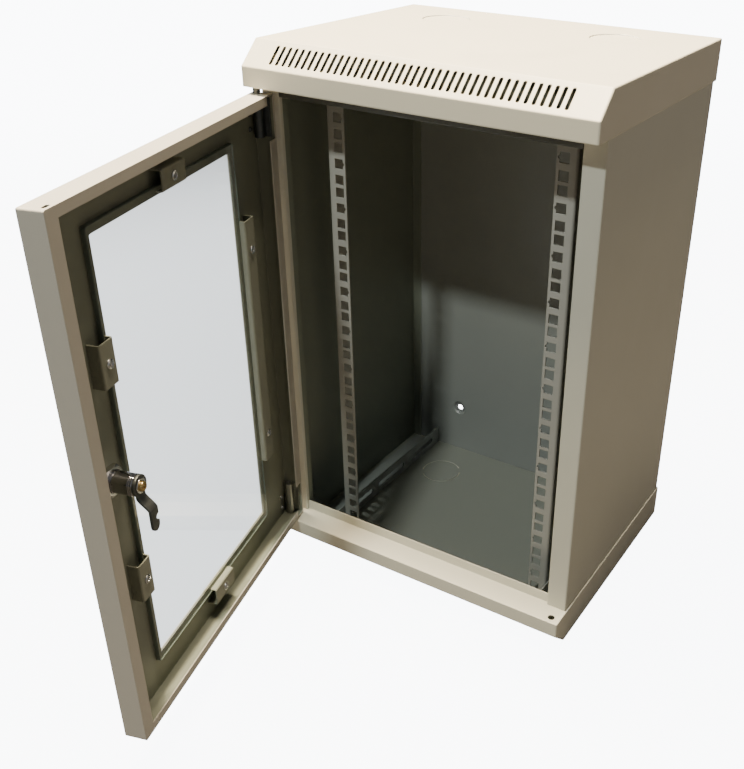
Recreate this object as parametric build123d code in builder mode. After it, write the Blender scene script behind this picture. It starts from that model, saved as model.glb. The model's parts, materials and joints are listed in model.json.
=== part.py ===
from build123d import *
from math import hypot
import os

# Small wall-mounted network cabinet for 10-inch equipment.
# Origin: centre of the base's underside. +Z up, the door is on the -Y side.

# ---------------------------------------------------------------- driving sizes
width = 348.0            # over the cover and the base tray
depth = 282.5            # from the cover's front lip to its back
height = 550.0
sheet = 1.2              # folded body sheet
bend = 1.6               # outer radius of a folded corner
slip = 0.1               # radial clearance of a screw or nut
running = 0.08           # radial clearance of a pin or plug that turns
visor = 22.9             # the cover and the sill stand this far in front of the body
back_overhang = 4.0      # the cover stands this far behind the body
skirt_gap = 0.5          # between the body and the skirts of the cover and the tray
skirt_drop = 39.0        # height of the cover's skirt
bevel_depth = 22.2       # front bevels of the cover and the tray
bevel_height = 21.2
visor_return = 20.0      # flange folded in under the cover's front lip
sill_height = 37.6
sill_lip_height = 10.8   # upstand behind the sill
sill_lip_setback = 3.0   # the upstand's front face, behind the body's front face

# vents, knock-outs and wall fixings
slot_margin = 27.0       # plain bevel left at each end of the row of slots
slot_pitch = 7.0
slot_length = 20.0
slot_width = 3.2
knockout_radius = 24.0
knockout_depth = 1.0
knockout_groove = 1.2    # round a floor knock-out
knockout_tie = 9.0       # width of the ties that hold a floor knock-out
knockout_x = 92.0
knockout_from_back = 65.0
wall_hole_radius = 3.75
wall_hole_x = 101.5
wall_hole_end = 62.0     # from the top and the bottom
dimple_radius = 9.0
dimple_depth = 2.4

# body panels
jamb_width = 20.5        # front flange of a side panel
jamb_return = 11.0       # the flange's inner edge folded back
rear_flange = 12.0
top_flange = 20.5
header_drop = 50.5       # the header's lower edge, below the cover's top
header_return = 10.0

# rack rails and the depth brackets that carry them
rail_sheet = 1.5
hole_spacing = 236.525   # between the hole rows of 10-inch equipment
rack_unit = 44.45
unit_holes = (6.35, 22.225, 38.1)
square_hole = 9.5
notch_radius = 1.7
rail_bottom_unit = 11.3  # height at which the lowest rack unit starts
rail_inner_margin = 2.7  # from a hole to the rail's inner edge
rail_outer_margin = 8.0  # from a hole to the rail's outer face
rail_setback = 41.2      # the rail's front face, behind the body's front face
rail_leg = 25.0
rail_bend = 2.6
rail_end_gap = 0.8
bracket_height = 24.0
bracket_wall_gap = 6.35   # from the bracket to the side wall
bracket_front_gap = 29.0
bracket_back_gap = 5.6
bracket_slot_length = 56.0
bracket_slot_pitch = 68.0
bracket_slot_margin = 14.5
rail_screw_radius = 3.0
rail_screw_depth = 15.0  # behind the rail's front face
rail_screw_height = 12.0 # from the bracket's foot
stud_radius = 3.0
stud_length = 16.0
stud_inset = 15.3        # from the body's side
stud_end = 52.0          # from the body's front and back

# door
door_side_gap = 3.5      # from the cover's side to the door's side
door_sill_gap = 1.0
door_top_gap = 6.4
door_face_gap = 2.0      # from the body to the back of the door
door_lip_side = 13.0
door_lip_end = 8.5
window_side = 64.0       # from the door's side to the window opening
window_end = 40.0
door_opening = 74.1      # angle at which the door stands open

# hinge
pin_radius = 3.4
barrel_wall = 1.3
barrel_height = 38.0
barrel_seat = 0.5        # from the door's end wall to the barrel
hinge_set_forward = 13.3 # pin to the back of the door
pin_reach = 4.6          # of a pin through the sill or the visor flange
leaf = 1.4
leaf_reach = 15.0
hinge_notch = 42.0
hinge_rivet_radius = 2.4
washer_radius = 6.8
washer_play = 0.1

# glass and what holds it
glass = 4.0
glass_side_lap = 6.5
glass_end_lap = 8.0
seal = 0.8
seal_inset = 0.6
clip_sheet = 1.2
clip_width = 18.0
clip_length = 36.0
channel_length = 259.0
clip_stand = 10.7        # from the door's sheet to the outside of a clip
clip_beside = 13.0       # centre line of the clips beside the window, from its edge
clip_side_z = 100.0      # above and below the door's middle
clip_beyond = 12.5       # centre line of the clips above and below the window, from its edge
spacer_radius = 3.4
clip_screw_radius = 2.0
clip_screw_length = 8.0

# cam lock
lock_inset = 40.5        # from the door's side
lock_rise = 3.0          # above the door's middle
lock_radius = 9.0
lock_flats = 16.4
lock_head_radius = 12.0
lock_head = 2.6
lock_reach = 4.4         # of the barrel, behind the door
lock_nut = 24.0
lock_nut_height = 5.2
plug_radius = 6.6
key_slot_width = 1.6
key_slot_length = 8.6
cam_sheet = 2.5
cam_hub_radius = 9.0
cam_square = 7.0
cam_offset = 8.8         # crank of the cam
cam_length = 40.0
cam_width = 11.0
cam_bolt_radius = 2.4
cam_bolt_head = 4.3

# ---------------------------------------------------------------- derived places
half_width = width / 2
slot_count = int((width - 2 * slot_margin) / slot_pitch)
front = -depth / 2
back = depth / 2
body_front = front + visor
body_back = back - back_overhang
body_half = half_width - sheet - skirt_gap
cover_under = height - sheet
cover_bottom = height - skirt_drop
jamb_inner = body_half - jamb_width
sill_lip_top = sill_height + sill_lip_height
sill_lip_front = body_front + sill_lip_setback
knockout_y = back - knockout_from_back
header_bottom = height - header_drop

hole_row = hole_spacing / 2
rail_inner = hole_row - square_hole / 2 - rail_inner_margin
rail_outer = hole_row + square_hole / 2 + rail_outer_margin
rail_front = body_front + rail_setback
rail_bottom = sheet + rail_sheet + rail_end_gap
rail_top = cover_under - sheet - rail_sheet - rail_end_gap
bracket_front = body_front + bracket_front_gap
bracket_back = body_back - bracket_back_gap
rail_screw_y = rail_front + rail_screw_depth
lower_screw_z = sheet + rail_screw_height
upper_screw_z = cover_under - sheet - rail_screw_height
unit_count = int((rail_top - rail_bottom_unit) / rack_unit)
stud_x = body_half - stud_inset
stud_places = [(x, y) for x in (-stud_x, stud_x) for y in (body_front + stud_end, body_back - stud_end)]

door_half = half_width - door_side_gap
door_bottom = sill_height + door_sill_gap
door_top = cover_bottom - door_top_gap
door_middle = (door_bottom + door_top) / 2
door_height = door_top - door_bottom
door_back = body_front - door_face_gap
door_inside = front + sheet
window_half = door_half - window_side
window_height = door_height - 2 * window_end
barrel_radius = pin_radius + slip + barrel_wall
hinge_x = -door_half + sheet + slip + barrel_radius
hinge_y = door_back - hinge_set_forward
glass_front = door_inside + seal
glass_back = glass_front + glass
clip_side_x = window_half + clip_beside
clip_end_z = window_height / 2 + clip_beyond
lock_x = door_half - lock_inset
lock_z = door_middle + lock_rise
lock_end = door_back + lock_reach
cam_front = lock_end + slip
cam_back = cam_front + cam_sheet

hinge_line = Axis((hinge_x, hinge_y, 0), (0, 0, 1))


def at_y(y):
    """A drawing plane facing the front, at depth y: its axes are X and Z."""
    return Plane(origin=(0, y, 0), x_dir=(1, 0, 0), z_dir=(0, -1, 0))


def write(part, name, on_door=False):
    """Door pieces are drawn with the door shut and turned to where it stands open."""
    placed = part.rotate(hinge_line, -door_opening) if on_door else part
    placed.label = name
    export_step(placed, f"parts/{name}.step")


os.makedirs("parts", exist_ok=True)

# ---------------------------------------------------------------- base tray
tray_back = body_back + skirt_gap + sheet
with BuildPart() as base_tray:
    with BuildSketch(Plane.YZ.offset(-half_width)):
        with BuildLine():
            Polyline(
                (front, sill_height),
                (front, bevel_height),
                (front + bevel_depth, 0),
                (tray_back, 0),
                (tray_back, sill_height),
                close=True,
            )
        make_face()
    extrude(amount=width)
    rim = base_tray.faces().sort_by(Axis.Z)[-1]
    fillet(base_tray.edges() - rim.edges(), bend)
    offset(amount=-sheet, openings=base_tray.faces().sort_by(Axis.Z)[-1])
    # sill over the full width, in front of the body
    with BuildSketch(Plane.XY.offset(sill_height - sheet)):
        with Locations((0, (front + body_front - slip) / 2)):
            Rectangle(width, body_front - slip - front)
        fillet(vertices().group_by(Axis.Y)[0], bend)
    extrude(amount=sheet)
    # the sill's back edge and its upstand stand between the two jambs
    with BuildSketch(Plane.YZ) as sill_edge:
        with BuildLine():
            FilletPolyline(
                (body_front - 1, sill_height - sheet / 2),
                (sill_lip_front + sheet / 2, sill_height - sheet / 2),
                (sill_lip_front + sheet / 2, sill_lip_top),
                radius=bend - sheet / 2,
            )
        trace(line_width=sheet)
    extrude(amount=jamb_inner - slip, both=True)
    front_edges = base_tray.edges().filter_by(Axis.X).filter_by_position(Axis.Y, front - 0.01, front + 0.01)
    fillet(front_edges.sort_by(Axis.Z)[-1], sheet - 0.2)
    # floor knock-outs: a groove pressed through most of the sheet, broken by two ties
    with BuildSketch(Plane.XY.offset(sheet)):
        with Locations((-knockout_x, knockout_y), (knockout_x, knockout_y)):
            Circle(knockout_radius)
            Circle(knockout_radius - knockout_groove, mode=Mode.SUBTRACT)
            Rectangle(2 * knockout_radius, knockout_tie, rotation=35, mode=Mode.SUBTRACT)
    extrude(amount=-knockout_depth, mode=Mode.SUBTRACT)
    # hinge pin holes: the door can be hung on either side
    with BuildSketch(Plane.XY.offset(sill_height)):
        with Locations((hinge_x, hinge_y), (-hinge_x, hinge_y)):
            Circle(pin_radius + running)
    extrude(amount=-2 * sheet, mode=Mode.SUBTRACT)
write(base_tray.part, "base_tray")

# ---------------------------------------------------------------- top cover
bevel_top = front + bevel_depth
bevel_bottom = height - bevel_height
bevel_normal = (0, -bevel_height, bevel_depth)
bevel_plane = Plane(
    origin=(0, (front + bevel_top) / 2, (bevel_bottom + height) / 2),
    x_dir=(1, 0, 0),
    z_dir=bevel_normal,
)
with BuildPart() as top_cover:
    with BuildSketch(Plane.YZ.offset(-half_width)):
        with BuildLine():
            Polyline(
                (front, cover_bottom),
                (front, bevel_bottom),
                (bevel_top, height),
                (back, height),
                (back, cover_bottom),
                close=True,
            )
        make_face()
    extrude(amount=width)
    underside = top_cover.faces().sort_by(Axis.Z)[0]
    fillet(top_cover.edges() - underside.edges(), bend)
    offset(amount=-sheet, openings=top_cover.faces().sort_by(Axis.Z)[0])
    # flange under the front lip, which holds the upper hinge pin
    with BuildSketch(Plane.XY.offset(cover_bottom)):
        with Locations((0, front + sheet / 2 + visor_return / 2)):
            Rectangle(width - sheet, visor_return)
        with Locations((hinge_x, hinge_y), (-hinge_x, hinge_y)):
            Circle(pin_radius + running, mode=Mode.SUBTRACT)
    extrude(amount=sheet)
    with BuildSketch(bevel_plane):
        with GridLocations(slot_pitch, 1, slot_count, 1):
            SlotOverall(slot_length, slot_width, rotation=90)
    extrude(amount=-3 * sheet, mode=Mode.SUBTRACT)
    # knock-outs, pressed down and held by a thin web
    with BuildSketch(Plane.XY.offset(height)):
        with Locations((-knockout_x, knockout_y), (knockout_x, knockout_y)):
            Circle(knockout_radius)
    extrude(amount=-knockout_depth, mode=Mode.SUBTRACT)
    with BuildSketch(Plane.XY.offset(cover_under)):
        with Locations((-knockout_x, knockout_y), (knockout_x, knockout_y)):
            Circle(knockout_radius - 0.2)
    extrude(amount=-knockout_depth)
write(top_cover.part, "top_cover")


# ---------------------------------------------------------------- side panels
def side_panel(side):
    """Folded panel: jamb return, jamb, wall and rear flange in plan, with a flange along the top."""
    wall = side * (body_half - sheet / 2)
    leg = side * (jamb_inner + sheet / 2)
    with BuildPart() as panel:
        with BuildSketch(Plane.XY.offset(sheet)):
            with BuildLine():
                FilletPolyline(
                    (leg, body_front + jamb_return),
                    (leg, body_front + sheet / 2),
                    (wall, body_front + sheet / 2),
                    (wall, body_back - 1.5 * sheet),
                    (side * (body_half - rear_flange), body_back - 1.5 * sheet),
                    radius=bend - sheet / 2,
                )
            trace(line_width=sheet)
        extrude(amount=cover_under - sheet)
        flange_front = body_front + jamb_return + 1
        flange_back = body_back - 2 * sheet - 1
        with BuildSketch(Plane.XY.offset(cover_under)):
            with Locations((side * (body_half - sheet / 2 - top_flange / 2), (flange_front + flange_back) / 2)):
                Rectangle(top_flange, flange_back - flange_front)
            with Locations([place for place in stud_places if place[0] * side > 0]):
                Circle(stud_radius + slip, mode=Mode.SUBTRACT)
        extrude(amount=-sheet)
    return panel.part


write(side_panel(-1), "left_side_panel")
write(side_panel(1), "right_side_panel")

# ---------------------------------------------------------------- back panel
wall_holes = [(x, z) for x in (-wall_hole_x, wall_hole_x) for z in (wall_hole_end, height - wall_hole_end)]
with BuildPart() as back_panel:
    with BuildSketch(at_y(body_back)):
        with Locations((0, (sheet + cover_under) / 2)):
            Rectangle(2 * body_half, cover_under - sheet)
    extrude(amount=sheet)
    # each wall hole sits in a dimple pressed backwards, which holds the panel off the wall
    with BuildSketch(at_y(body_back)):
        with Locations(wall_holes):
            Circle(dimple_radius)
    extrude(amount=-dimple_depth, taper=45)
    with BuildSketch(at_y(body_back - sheet)):
        with Locations(wall_holes):
            Circle(dimple_radius)
    extrude(amount=-dimple_depth, taper=45, mode=Mode.SUBTRACT)
    with BuildSketch(at_y(body_back + dimple_depth)):
        with Locations(wall_holes):
            Circle(wall_hole_radius)
    extrude(amount=2 * dimple_depth, mode=Mode.SUBTRACT)
write(back_panel.part, "back_panel")

# ---------------------------------------------------------------- header under the cover
with BuildPart() as front_header:
    with BuildSketch(Plane.YZ):
        with BuildLine():
            FilletPolyline(
                (body_front + header_return, header_bottom + sheet / 2),
                (body_front + sheet / 2, header_bottom + sheet / 2),
                (body_front + sheet / 2, cover_under - sheet / 2),
                (body_front + header_return, cover_under - sheet / 2),
                radius=bend - sheet / 2,
            )
        trace(line_width=sheet)
    extrude(amount=jamb_inner, both=True)
write(front_header.part, "front_header")


# ---------------------------------------------------------------- depth brackets
def depth_bracket(side, foot, up):
    """Angle with a row of slots, its foot on the floor (up = 1) or under the top flange (up = -1)."""
    inner = side * (rail_outer + rail_sheet / 2)
    outer = side * (body_half - sheet - bracket_wall_gap)
    length = bracket_back - bracket_front
    first_slot = bracket_front + bracket_slot_margin + bracket_slot_length / 2
    slot_total = int((length - 2 * bracket_slot_margin - bracket_slot_length) / bracket_slot_pitch) + 1
    slot_row = [first_slot + step * bracket_slot_pitch for step in range(slot_total)]
    with BuildPart() as bracket:
        with BuildSketch(at_y(bracket_back)):
            with BuildLine():
                FilletPolyline(
                    (inner, foot + up * bracket_height),
                    (inner, foot + up * rail_sheet / 2),
                    (outer, foot + up * rail_sheet / 2),
                    radius=rail_sheet,
                )
            trace(line_width=rail_sheet)
        extrude(amount=length)
        with BuildSketch(Plane.YZ):
            with Locations([(y, foot + up * rail_screw_height) for y in slot_row]):
                SlotOverall(bracket_slot_length, 2 * rail_screw_radius + 0.6)
        extrude(amount=side * half_width, mode=Mode.SUBTRACT)
        if up < 0:
            with BuildSketch(Plane.XY.offset(foot)):
                with Locations([place for place in stud_places if place[0] * side > 0]):
                    Circle(stud_radius + slip)
            extrude(amount=-2 * rail_sheet, mode=Mode.SUBTRACT)
    return bracket.part


write(depth_bracket(-1, sheet, 1), "lower_left_bracket")
write(depth_bracket(1, sheet, 1), "lower_right_bracket")
write(depth_bracket(-1, cover_under - sheet, -1), "upper_left_bracket")
write(depth_bracket(1, cover_under - sheet, -1), "upper_right_bracket")


# ---------------------------------------------------------------- rack rails
def rack_rail(side):
    """Angle with the three square holes of each rack unit; the middle hole has a marking notch."""
    leg = side * (rail_outer - rail_sheet / 2)
    starts = [rail_bottom_unit + unit * rack_unit for unit in range(unit_count)]
    holes = [(side * hole_row, start + rise) for start in starts for rise in unit_holes]
    notches = [(side * (hole_row - square_hole / 2), start + unit_holes[1]) for start in starts]
    with BuildPart() as rail:
        with BuildSketch(Plane.XY.offset(rail_bottom)):
            with BuildLine():
                FilletPolyline(
                    (side * rail_inner, rail_front + rail_sheet / 2),
                    (leg, rail_front + rail_sheet / 2),
                    (leg, rail_front + rail_leg),
                    radius=rail_bend - rail_sheet / 2,
                )
            trace(line_width=rail_sheet)
        extrude(amount=rail_top - rail_bottom)
        with BuildSketch(at_y(rail_front + 2 * rail_sheet)):
            with Locations(holes):
                Rectangle(square_hole, square_hole)
            with Locations(notches):
                Circle(notch_radius)
        extrude(amount=3 * rail_sheet, mode=Mode.SUBTRACT)
        with BuildSketch(Plane.YZ):
            with Locations((rail_screw_y, lower_screw_z), (rail_screw_y, upper_screw_z)):
                Circle(rail_screw_radius + slip)
        extrude(amount=side * half_width, mode=Mode.SUBTRACT)
    return rail.part


write(rack_rail(-1), "left_rack_rail")
write(rack_rail(1), "right_rack_rail")


# ---------------------------------------------------------------- rail screws, nuts and cover studs
rail_screw_places = [(side, z) for side in (-1, 1) for z in (lower_screw_z, upper_screw_z)]
with BuildPart() as rail_screws:
    for side, z in rail_screw_places:
        seat = Plane(origin=(side * (rail_outer - rail_sheet), rail_screw_y, z), z_dir=(side, 0, 0))
        with BuildSketch(seat):
            Circle(1.9 * rail_screw_radius)
        extrude(amount=-3.4)
        with BuildSketch(seat):
            Circle(rail_screw_radius)
        extrude(amount=2 * rail_sheet + 6.5)
        with BuildSketch(seat.offset(-3.4)):
            Rectangle(4.6, 1.0)
            Rectangle(1.0, 4.6)
        extrude(amount=1.6, mode=Mode.SUBTRACT)
write(rail_screws.part, "rail_screws")

with BuildPart() as rail_nuts:
    for side, z in rail_screw_places:
        seat = Plane(origin=(side * (rail_outer + rail_sheet), rail_screw_y, z), z_dir=(side, 0, 0))
        with BuildSketch(seat):
            Circle(2.3 * rail_screw_radius)
            Circle(rail_screw_radius + slip, mode=Mode.SUBTRACT)
        extrude(amount=1.2)
        with BuildSketch(seat.offset(1.2)):
            RegularPolygon(rail_screw_radius * 5 / 3, 6, major_radius=False)
            Circle(rail_screw_radius + slip, mode=Mode.SUBTRACT)
        extrude(amount=4.0)
write(rail_nuts.part, "rail_nuts")

with BuildPart() as cover_studs:
    with BuildSketch(Plane.XY.offset(cover_under)):
        with Locations(stud_places):
            Circle(stud_radius)
    extrude(amount=-stud_length)
write(cover_studs.part, "cover_studs")

with BuildPart() as cover_nuts:
    with BuildSketch(Plane.XY.offset(cover_under - sheet - rail_sheet)):
        with Locations(stud_places):
            Circle(2.3 * stud_radius)
            Circle(stud_radius + slip, mode=Mode.SUBTRACT)
    extrude(amount=-1.2)
    with BuildSketch(Plane.XY.offset(cover_under - sheet - rail_sheet - 1.2)):
        with Locations(stud_places):
            RegularPolygon(stud_radius * 5 / 3, 6, major_radius=False)
            Circle(stud_radius + slip, mode=Mode.SUBTRACT)
    extrude(amount=-4.0)
write(cover_nuts.part, "cover_nuts")

# ---------------------------------------------------------------- door pan
with BuildPart() as door_pan:
    with BuildSketch(at_y(door_back)):
        with Locations((0, door_middle)):
            Rectangle(2 * door_half, door_height)
    extrude(amount=door_back - front)
    rear = door_pan.faces().sort_by(Axis.Y)[-1]
    fillet(door_pan.edges() - rear.edges(), bend)
    offset(amount=-sheet, openings=door_pan.faces().sort_by(Axis.Y)[-1])
    with BuildSketch(at_y(door_back)):
        with Locations((0, door_middle)):
            Rectangle(2 * door_half - sheet, door_height - sheet)
            Rectangle(2 * (door_half - door_lip_side), door_height - 2 * door_lip_end, mode=Mode.SUBTRACT)
    extrude(amount=sheet)
    # the lip is cut away at both hinges
    with BuildSketch(at_y(door_back)):
        for end in (-1, 1):
            with Locations((-door_half + sheet + door_lip_side / 2, door_middle + end * (door_height - hinge_notch) / 2)):
                Rectangle(door_lip_side, hinge_notch - 2 * sheet)
    extrude(amount=2 * sheet, mode=Mode.SUBTRACT)
    with BuildSketch(at_y(door_inside)):
        with Locations((0, door_middle)):
            RectangleRounded(2 * window_half, window_height, 2.5)
        with Locations((lock_x, lock_z)):
            with BuildSketch(mode=Mode.PRIVATE) as lock_hole:
                Circle(lock_radius + slip)
                Rectangle(lock_flats + 2 * slip, 3 * lock_radius, mode=Mode.INTERSECT)
            add(lock_hole.sketch)
    extrude(amount=2 * sheet, mode=Mode.SUBTRACT)
    with BuildSketch(Plane.XY.offset(door_bottom)):
        with Locations((hinge_x, hinge_y)):
            Circle(pin_radius + slip)
    extrude(amount=door_height, mode=Mode.SUBTRACT)
    # hanging slot in the top wall and a drain hole in the front sheet, both at the lock side
    with BuildSketch(Plane.XY.offset(door_top)):
        with Locations((door_half - 8.0, door_back - 4.0)):
            SlotOverall(7.0, 3.0)
    extrude(amount=-2 * sheet, mode=Mode.SUBTRACT)
    with BuildSketch(at_y(door_inside)):
        with Locations((door_half - 36.0, door_bottom + 35.0)):
            Circle(1.6)
    extrude(amount=2 * sheet, mode=Mode.SUBTRACT)
write(door_pan.part, "door_pan", on_door=True)


# ---------------------------------------------------------------- hinges
def hinge_bracket(low, high):
    """Knuckle round the pin, with a leaf on the door's side wall and one on its front sheet."""
    with BuildPart() as bracket:
        with BuildSketch(Plane.XY.offset(low)):
            with Locations((hinge_x, hinge_y)):
                Circle(barrel_radius)
            with Locations((-door_half + sheet + leaf / 2, hinge_y + leaf_reach / 4)):
                Rectangle(leaf, leaf_reach / 2 + barrel_radius)
            with Locations((hinge_x + leaf_reach / 2, door_inside + leaf / 2)):
                Rectangle(leaf_reach, leaf)
            with Locations((hinge_x, (hinge_y + door_inside) / 2)):
                Rectangle(leaf, hinge_y - door_inside)
            with Locations((hinge_x, hinge_y)):
                Circle(pin_radius + slip, mode=Mode.SUBTRACT)
        extrude(amount=high - low)
    return bracket.part


def hinge_pin(low, high):
    with BuildPart() as pin:
        with BuildSketch(Plane.XY.offset(low)):
            with Locations((hinge_x, hinge_y)):
                Circle(pin_radius)
        extrude(amount=high - low)
        chamfer(pin.edges().group_by(Axis.Z)[0] + pin.edges().group_by(Axis.Z)[-1], 0.5)
    return pin.part


lower_barrel = door_bottom + sheet + barrel_seat
upper_barrel = door_top - sheet - barrel_seat
write(hinge_bracket(lower_barrel, lower_barrel + barrel_height), "lower_hinge_bracket", on_door=True)
write(hinge_bracket(upper_barrel - barrel_height, upper_barrel), "upper_hinge_bracket", on_door=True)
write(hinge_pin(sill_height - pin_reach, lower_barrel + barrel_height - 1), "lower_hinge_pin", on_door=True)
write(hinge_pin(upper_barrel - barrel_height + 1, cover_bottom + pin_reach), "upper_hinge_pin", on_door=True)

rivet_rows = [lower_barrel + barrel_height * share for share in (0.3, 0.7)]
rivet_rows += [upper_barrel - barrel_height * share for share in (0.3, 0.7)]
rivet_x = hinge_x + leaf_reach - 2 * hinge_rivet_radius
with BuildPart() as hinge_rivets:
    with BuildSketch(at_y(door_inside + leaf)):
        with Locations([(rivet_x, z) for z in rivet_rows]):
            Circle(hinge_rivet_radius)
    extrude(amount=-1.4, taper=25)
write(hinge_rivets.part, "hinge_rivets", on_door=True)

with BuildPart() as hinge_washer:
    with BuildSketch(Plane.XY.offset(sill_height)):
        with Locations((hinge_x, hinge_y)):
            Circle(washer_radius)
            Circle(pin_radius + slip, mode=Mode.SUBTRACT)
    extrude(amount=door_sill_gap - washer_play)
write(hinge_washer.part, "hinge_washer")

# ---------------------------------------------------------------- window glass and seal
glass_width = 2 * (window_half + glass_side_lap)
glass_height = window_height + 2 * glass_end_lap
with BuildPart() as window_glass:
    with BuildSketch(at_y(glass_back)):
        with Locations((0, door_middle)):
            Rectangle(glass_width, glass_height)
    extrude(amount=glass)
    chamfer(window_glass.edges().group_by(Axis.Y)[0] + window_glass.edges().group_by(Axis.Y)[-1], 0.5)
write(window_glass.part, "window_glass", on_door=True)

with BuildPart() as glass_seal:
    with BuildSketch(at_y(glass_front)):
        with Locations((0, door_middle)):
            Rectangle(glass_width - 2 * seal_inset, glass_height - 2 * seal_inset)
            Rectangle(2 * (window_half + seal_inset), window_height + 2 * seal_inset, mode=Mode.SUBTRACT)
    extrude(amount=seal)
write(glass_seal.part, "glass_seal", on_door=True)

# ---------------------------------------------------------------- clips that hold the glass
clip_faces = {
    "upper_glass_clip": ((clip_side_x, door_middle + clip_side_z), (-1, 0), clip_length),
    "lower_glass_clip": ((clip_side_x, door_middle - clip_side_z), (-1, 0), clip_length),
    "top_glass_clip": ((0, door_middle + clip_end_z), (0, -1), clip_length),
    "bottom_glass_clip": ((0, door_middle - clip_end_z), (0, 1), clip_length),
    "hinge_side_glass_channel": ((-clip_side_x, door_middle), (1, 0), channel_length),
}
side_screws = (-clip_side_z, clip_side_z)


def glass_clip(place, inward, length):
    """Channel with a short leg on the glass and a long leg on the door's sheet."""
    x, z = place
    across, up = inward
    section = Plane(origin=(x, door_inside, z), x_dir=(across, 0, up), z_dir=(-up, 0, across))
    short = clip_width / 2 - clip_sheet / 2
    web = clip_stand - clip_sheet / 2
    with BuildPart() as clip:
        with BuildSketch(section):
            with BuildLine():
                FilletPolyline(
                    (short, glass_back - door_inside),
                    (short, web),
                    (-short, web),
                    (-short, 0),
                    radius=clip_sheet,
                )
            trace(line_width=clip_sheet)
        extrude(amount=length / 2, both=True)
        rows = side_screws if length == channel_length else (0,)
        with BuildSketch(at_y(door_inside + clip_stand)):
            with Locations([(x, z + row) for row in rows]):
                Circle(clip_screw_radius + 2 * slip)
        extrude(amount=2 * clip_sheet, mode=Mode.SUBTRACT)
    return clip.part


for name, (place, inward, length) in clip_faces.items():
    write(glass_clip(place, inward, length), name, on_door=True)

clip_screw_places = [(x, door_middle + z) for x in (-clip_side_x, clip_side_x) for z in side_screws]
clip_screw_places += [(0, door_middle - clip_end_z), (0, door_middle + clip_end_z)]
spacer_end = door_inside + clip_stand - clip_sheet
with BuildPart() as clip_spacers:
    with BuildSketch(at_y(spacer_end)):
        with Locations(clip_screw_places):
            Circle(spacer_radius)
            Circle(clip_screw_radius + slip, mode=Mode.SUBTRACT)
    extrude(amount=spacer_end - door_inside)
write(clip_spacers.part, "clip_spacers", on_door=True)

with BuildPart() as clip_screws:
    with BuildSketch(at_y(door_inside + clip_stand)):
        with Locations(clip_screw_places):
            Circle(2.1 * clip_screw_radius)
    extrude(amount=-2.2, taper=18)
    with BuildSketch(at_y(door_inside + clip_stand)):
        with Locations(clip_screw_places):
            Circle(clip_screw_radius)
    extrude(amount=clip_screw_length)
    with BuildSketch(at_y(door_inside + clip_stand + 2.2)):
        with Locations(clip_screw_places):
            Rectangle(4.2, 0.9)
            Rectangle(0.9, 4.2)
    extrude(amount=1.3, mode=Mode.SUBTRACT)
write(clip_screws.part, "clip_screws", on_door=True)

# ---------------------------------------------------------------- cam lock
with BuildPart() as lock_housing:
    with BuildSketch(at_y(front)):
        with Locations((lock_x, lock_z)):
            Circle(lock_head_radius)
    extrude(amount=lock_head)
    fillet(lock_housing.edges().group_by(Axis.Y)[0], 0.9)
    with BuildSketch(at_y(lock_end)) as lock_body:
        with Locations((lock_x, lock_z)):
            Circle(lock_radius)
            Rectangle(lock_flats, 3 * lock_radius, mode=Mode.INTERSECT)
    extrude(amount=lock_end - front)
    with BuildSketch(at_y(lock_end)):
        with Locations((lock_x, lock_z)):
            Circle(plug_radius + running)
    extrude(amount=lock_end - front + lock_head, mode=Mode.SUBTRACT)
write(lock_housing.part, "lock_housing", on_door=True)

with BuildPart() as lock_ring_nut:
    with BuildSketch(at_y(door_inside + lock_nut_height)):
        with Locations((lock_x, lock_z)):
            RegularPolygon(lock_nut / 2, 6, major_radius=False)
            Circle(lock_radius + slip, mode=Mode.SUBTRACT)
    extrude(amount=lock_nut_height)
write(lock_ring_nut.part, "lock_ring_nut", on_door=True)

with BuildPart() as lock_plug:
    with BuildSketch(at_y(lock_end)):
        with Locations((lock_x, lock_z)):
            Circle(plug_radius)
    extrude(amount=lock_end - front + lock_head - 0.4)
    with BuildSketch(at_y(cam_back)):
        with Locations((lock_x, lock_z)):
            Rectangle(cam_square, cam_square)
    extrude(amount=cam_back - lock_end)
    with BuildSketch(at_y(front - lock_head + 0.4)):
        with Locations((lock_x, lock_z)):
            Rectangle(key_slot_width, key_slot_length)
    extrude(amount=-14, mode=Mode.SUBTRACT)
    with BuildSketch(at_y(cam_back)):
        with Locations((lock_x, lock_z)):
            Circle(cam_bolt_radius + slip)
    extrude(amount=9, mode=Mode.SUBTRACT)
write(lock_plug.part, "lock_plug", on_door=True)

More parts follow.
